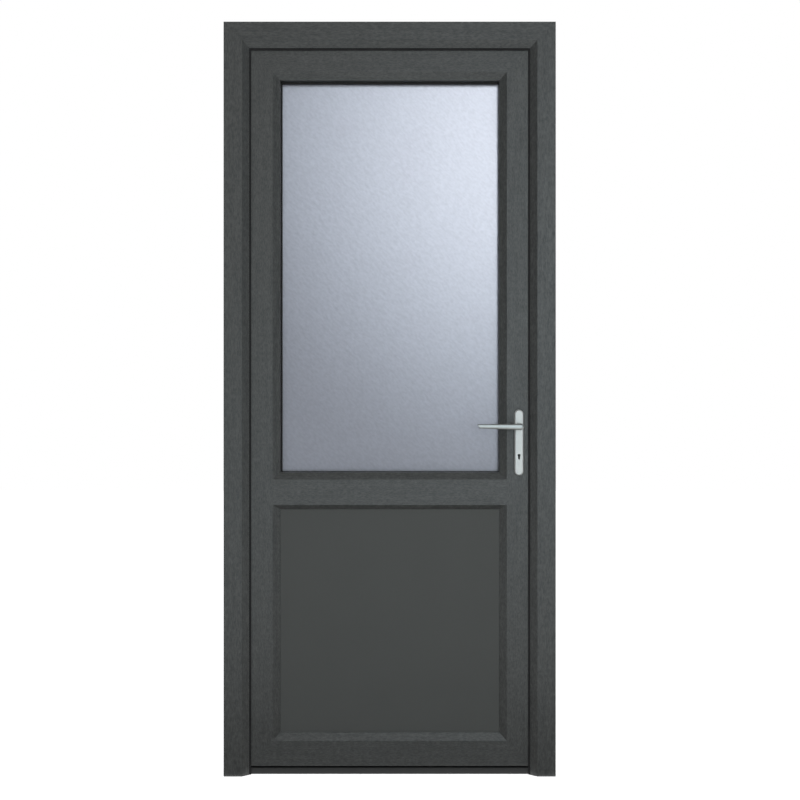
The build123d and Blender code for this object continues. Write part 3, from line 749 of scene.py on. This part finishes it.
class DOOR_OT_fit_lock(bpy.types.Operator):
    """Dress the lock, its bolts and keeps, and add their screws"""

    bl_idname = "door.fit_lock"
    bl_label = "Lock"

    def execute(self, context):
        steel = metal_material("lock_steel", (0.52, 0.52, 0.50), roughness=0.3)
        # The lock case is near black, a painted shade, so that the keyhole seen through the handle plate
        # looks dark
        dress(metal_material("lock_case_painted_shade", (0.02, 0.02, 0.02), roughness=0.6), "lock_case")
        dress(steel, "lock_faceplate", "latch_bolt", "dead_bolt", "hook_bolts", "latch_keep",
              "hook_keeps")
        low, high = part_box("lock_faceplate")
        middle = (low.y + high.y) / 2
        screw_heads("faceplate_screws", [(high.x, middle, level) for level in FACEPLATE_SCREW_LEVELS],
                    outward=(1, 0, 0), radius=0.0036, body="leaf", material=steel)
        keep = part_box("latch_keep")[0].x
        # The keeps' screws stand two millimetres nearer the outside than those of the faceplate
        keep_middle = middle - 0.002
        screw_heads("keep_screws", [(keep, keep_middle, level) for level in KEEP_SCREW_LEVELS],
                    outward=(-1, 0, 0), radius=0.0032, body="frame", material=steel)
        return {"FINISHED"}


class DOOR_OT_fit_hinges(bpy.types.Operator):
    """Dress the flag hinges and add their screws"""

    bl_idname = "door.fit_hinges"
    bl_label = "Hinges"

    def execute(self, context):
        coating = metal_material("hinge_coating", (0.035, 0.036, 0.037), roughness=0.38, metallic=0.0)
        plated = metal_material("hinge_screw_plating", (0.30, 0.30, 0.30), roughness=0.32)
        on_leaf = []
        on_frame = []
        for level in HINGE_LEVELS:
            low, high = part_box(f"{level}_hinge_flag")
            dress(coating, f"{level}_hinge_flag", f"{level}_hinge_frame_part")
            on_leaf += [(high.x - inset, FLAG_FACE_Y, low.z + height)
                        for height in FLAG_SCREW_HEIGHTS for inset in FLAG_SCREW_INSETS]
            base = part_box(f"{level}_hinge_frame_part")[0]
            on_frame += [(base.x + FRAME_PART_SCREW_INSET, FRAME_PART_FACE_Y, base.z + height)
                         for height in FRAME_PART_SCREW_HEIGHTS]
        screw_heads("hinge_leaf_screws", on_leaf, outward=(0, 1, 0), radius=0.0042, body="leaf",
                    material=plated)
        screw_heads("hinge_frame_screws", on_frame, outward=(0, 1, 0), radius=0.0038, body="frame",
                    material=plated)
        return {"FINISHED"}


def area_lamp(name, place, aim, size, power):
    """Hang a soft rectangular lamp at a place, facing a point."""
    data = bpy.data.lights.new(name, "AREA")
    data.shape = "RECTANGLE"
    data.size, data.size_y = size
    data.energy = power
    lamp = bpy.data.objects.new(name, data)
    bpy.context.scene.collection.objects.link(lamp)
    lamp.location = place
    towards = Vector(aim) - Vector(place)
    lamp.rotation_euler = towards.to_track_quat("-Z", "Y").to_euler()
    return lamp


def upright_sheet(start, end, low, high):
    """Corners of a sheet that stands between two points of the plan, each an X and a Y."""
    return [(*start, low), (*end, low), (*end, high), (*start, high)]


def lying_sheet(reach, near, far):
    """Corners of a sheet that lies between two lines across, each a Y and a Z, as far left as right."""
    return [(-reach, *near), (reach, *near), (reach, *far), (-reach, *far)]


def flat_sheet(name, corners, material):
    """Make a flat sheet with four corners."""
    mesh = bpy.data.meshes.new(name)
    mesh.from_pydata(corners, [], [(0, 1, 2, 3)])
    mesh.materials.append(material)
    sheet = bpy.data.objects.new(name, mesh)
    bpy.context.scene.collection.objects.link(sheet)
    return sheet


def stage_card(name, corners, material, seen_through_glass=False):
    """Put a flat card on the stage that only reflections see, or only what looks through glass."""
    card = flat_sheet(name, corners, material)
    card.visible_camera = False
    card.visible_diffuse = False
    card.visible_shadow = False
    card.visible_glossy = not seen_through_glass
    card.visible_transmission = seen_through_glass


def card_material(name, level, colour=(1, 1, 1)):
    """Evenly glowing card of one level, faintly clouded as stretched cloth is."""
    material, tree, shader, place = new_material(name)
    cloud = remap(tree, noise(tree, place, scale=1.5, detail=1), 0.3, 0.7, 0.97, 1.03, smooth=False)
    socket_fill(tree, shader, {
        "Base Color": (0, 0, 0, 1), "Specular IOR Level": 0.0, "Emission Color": rgba(colour),
        "Emission Strength": math(tree, "MULTIPLY", cloud, level)})
    return material


def back_card_material(centre, reach):
    """Daylight behind the glass: a glow that falls off evenly, and turns a little bluer, round a centre."""
    material, tree, shader, place = new_material("back_card_glow")
    away = add_node(tree, "ShaderNodeVectorMath", {0: place, 1: centre}, operation="DISTANCE")
    fade = remap(tree, away.outputs["Value"], 0.15, reach)
    socket_fill(tree, shader, {
        "Base Color": (0, 0, 0, 1), "Specular IOR Level": 0.0,
        "Emission Color": mix_colours(tree, fade, (1, 1, 1, 1), (0.92, 1.0, 1.05, 1)),
        "Emission Strength": remap(tree, fade, 0, 1, 1.72, 0.13, smooth=False)})
    return material


def seen_rays(tree):
    """One for rays from the camera, in reflections and through glass, and nothing for the others."""
    path = tree.nodes.new("ShaderNodeLightPath")
    onwards = math(tree, "MAXIMUM", path.outputs["Is Glossy Ray"], path.outputs["Is Transmission Ray"])
    return math(tree, "MAXIMUM", path.outputs["Is Camera Ray"], onwards)


def light_world():
    """Set the world: white where it is seen, in reflections and through glass, else a plain ambient."""
    world = bpy.data.worlds.new("studio")
    bpy.context.scene.world = world
    world.use_nodes = True
    tree = world.node_tree
    tree.nodes.clear()
    ambient = bpy.context.scene.door_stage.ambient
    strength = remap(tree, seen_rays(tree), 0, 1, ambient, 1.0, smooth=False)
    shader = add_node(tree, "ShaderNodeBackground", {"Color": (1, 1, 1, 1), "Strength": strength})
    out = tree.nodes.new("ShaderNodeOutputWorld")
    tree.links.new(shader.outputs[0], out.inputs[0])


def floor_material():
    """Pale floor: matt for light, with a glow of its own where it is seen that a shadow still dims."""
    material, tree, shader, place = new_material("pale_floor")
    shade = remap(tree, noise(tree, place, scale=3, detail=3), 0.3, 0.7, 0.78, 0.82, smooth=False)
    colour = add_node(tree, "ShaderNodeCombineColor", {0: shade, 1: shade, 2: shade})
    socket_fill(tree, shader, {"Base Color": colour.outputs[0], "Roughness": 0.9,
                               "Emission Color": (1, 1, 1, 1), "Specular IOR Level": 0.0,
                               "Emission Strength": math(tree, "MULTIPLY", seen_rays(tree), 0.75)})
    return material


class DOOR_OT_set_stage(bpy.types.Operator):
    """Set the camera, the lamp, the floor, the cards and the white background"""

    bl_idname = "door.set_stage"
    bl_label = "Stage"

    def execute(self, context):
        scene = context.scene
        settings = scene.door_stage
        scene.view_settings.view_transform = "Standard"
        lens = bpy.data.cameras.new("photo_camera")
        lens.lens = settings.focal_length
        lens.sensor_width = 36
        camera = bpy.data.objects.new("photo_camera", lens)
        scene.collection.objects.link(camera)
        camera.location = (settings.camera_across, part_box("frame_head")[0].y - settings.camera_distance,
                           settings.camera_height)
        camera.rotation_euler = (np.pi / 2, 0, 0)
        scene.camera = camera
        key = area_lamp("key_lamp", place=(0.9, -3.6, 1.7), aim=(0, 0, 1.1), size=(1.8, 1.8),
                        power=settings.key_power)
        key.visible_glossy = False
        key.visible_transmission = False
        light_world()
        floor = flat_sheet("floor", lying_sheet(reach=8, near=(-8, 0), far=(8, 0)), floor_material())

        # Dark walls at both sides and a dark ceiling, with a bright strip towards the camera
        dark = card_material("dark_card", level=0.03)
        stage_card("left_card", upright_sheet((-4.6, 0), (-1.9, -3.2), low=0, high=5), dark)
        stage_card("right_card", upright_sheet((4.6, 0), (2.1, -3.2), low=0, high=5), dark)
        stage_card("high_card", lying_sheet(reach=3, near=(-2.3, 3.6), far=(0, 3.9)), dark)
        stage_card("front_high_card", lying_sheet(reach=3, near=(-3.5, 3.5), far=(-2.3, 3.6)),
                   card_material("front_high_card", level=0.85))

        # The ground in front of the door: dim close to it, lighter further out
        stage_card("near_floor_card", lying_sheet(reach=2, near=(-0.6, 0.002), far=(-0.04, 0.002)),
                   card_material("near_floor_card", level=0.17, colour=(1.05, 1.0, 0.95)))
        stage_card("far_floor_card", lying_sheet(reach=4, near=(-4.2, 0.002), far=(-0.6, 0.002)),
                   card_material("far_floor_card", level=0.64, colour=(0.97, 1.0, 0.99)))

        # The surroundings behind the camera, and two bright openings in front of them
        stage_card("room_card", upright_sheet((-8, -4.8), (8, -4.8), low=0, high=8),
                   card_material("room_card", level=0.59, colour=(0.96, 1.0, 0.98)))
        window = card_material("window_card", level=1.42, colour=(0.84, 1.0, 1.07))
        stage_card("right_window_card", upright_sheet((0.35, -4.2), (2.6, -4.2), low=0.1, high=3.6), window)
        stage_card("low_window_card", upright_sheet((-1.6, -4.2), (0.35, -4.2), low=0.05, high=0.95), window)

        # The glow behind the glass, brightest at the upper right
        stage_card("back_card", upright_sheet((-3, 1.6), (3, 1.6), low=-0.5, high=4),
                   back_card_material(centre=(0.75, 1.6, 2.3), reach=1.85), seen_through_glass=True)
        return {"FINISHED"}


class DOOR_PT_panel(bpy.types.Panel):
    """Lists the door's settings and the operators that build it"""

    bl_label = "Upvc door"
    bl_idname = "DOOR_PT_panel"
    bl_space_type = "VIEW_3D"
    bl_region_type = "UI"
    bl_category = "Door"

    def draw(self, context):
        layout = self.layout
        for group in (context.scene.door_finish, context.scene.door_glass, context.scene.door_stage):
            for name in group.__annotations__:
                layout.prop(group, name)
        for operator in OPERATORS:
            layout.operator(operator.bl_idname)


OPERATORS = (
    DOOR_OT_dress_frame,
    DOOR_OT_dress_leaf,
    DOOR_OT_dress_panel,
    DOOR_OT_dress_seals,
    DOOR_OT_dress_threshold,
    DOOR_OT_glaze,
    DOOR_OT_fit_handles,
    DOOR_OT_fit_lock,
    DOOR_OT_fit_hinges,
    DOOR_OT_set_stage,
)
CLASSES = (DoorFinish, DoorGlass, DoorStage, *OPERATORS, DOOR_PT_panel)


def register():
    """Register the classes and hang the settings on the scene."""
    for cls in CLASSES:
        bpy.utils.register_class(cls)
    bpy.types.Scene.door_finish = PointerProperty(type=DoorFinish)
    bpy.types.Scene.door_glass = PointerProperty(type=DoorGlass)
    bpy.types.Scene.door_stage = PointerProperty(type=DoorStage)


def unregister():
    """Take the settings off the scene and the classes out again."""
    del bpy.types.Scene.door_stage
    del bpy.types.Scene.door_glass
    del bpy.types.Scene.door_finish
    for cls in reversed(CLASSES):
        bpy.utils.unregister_class(cls)


def main():
    register()
    bpy.ops.door.dress_frame()
    bpy.ops.door.dress_leaf()
    bpy.ops.door.dress_panel()
    bpy.ops.door.dress_seals()
    bpy.ops.door.dress_threshold()
    bpy.ops.door.glaze()
    bpy.ops.door.fit_handles()
    bpy.ops.door.fit_lock()
    bpy.ops.door.fit_hinges()
    bpy.ops.door.set_stage()


if __name__ == "__main__":
    main()
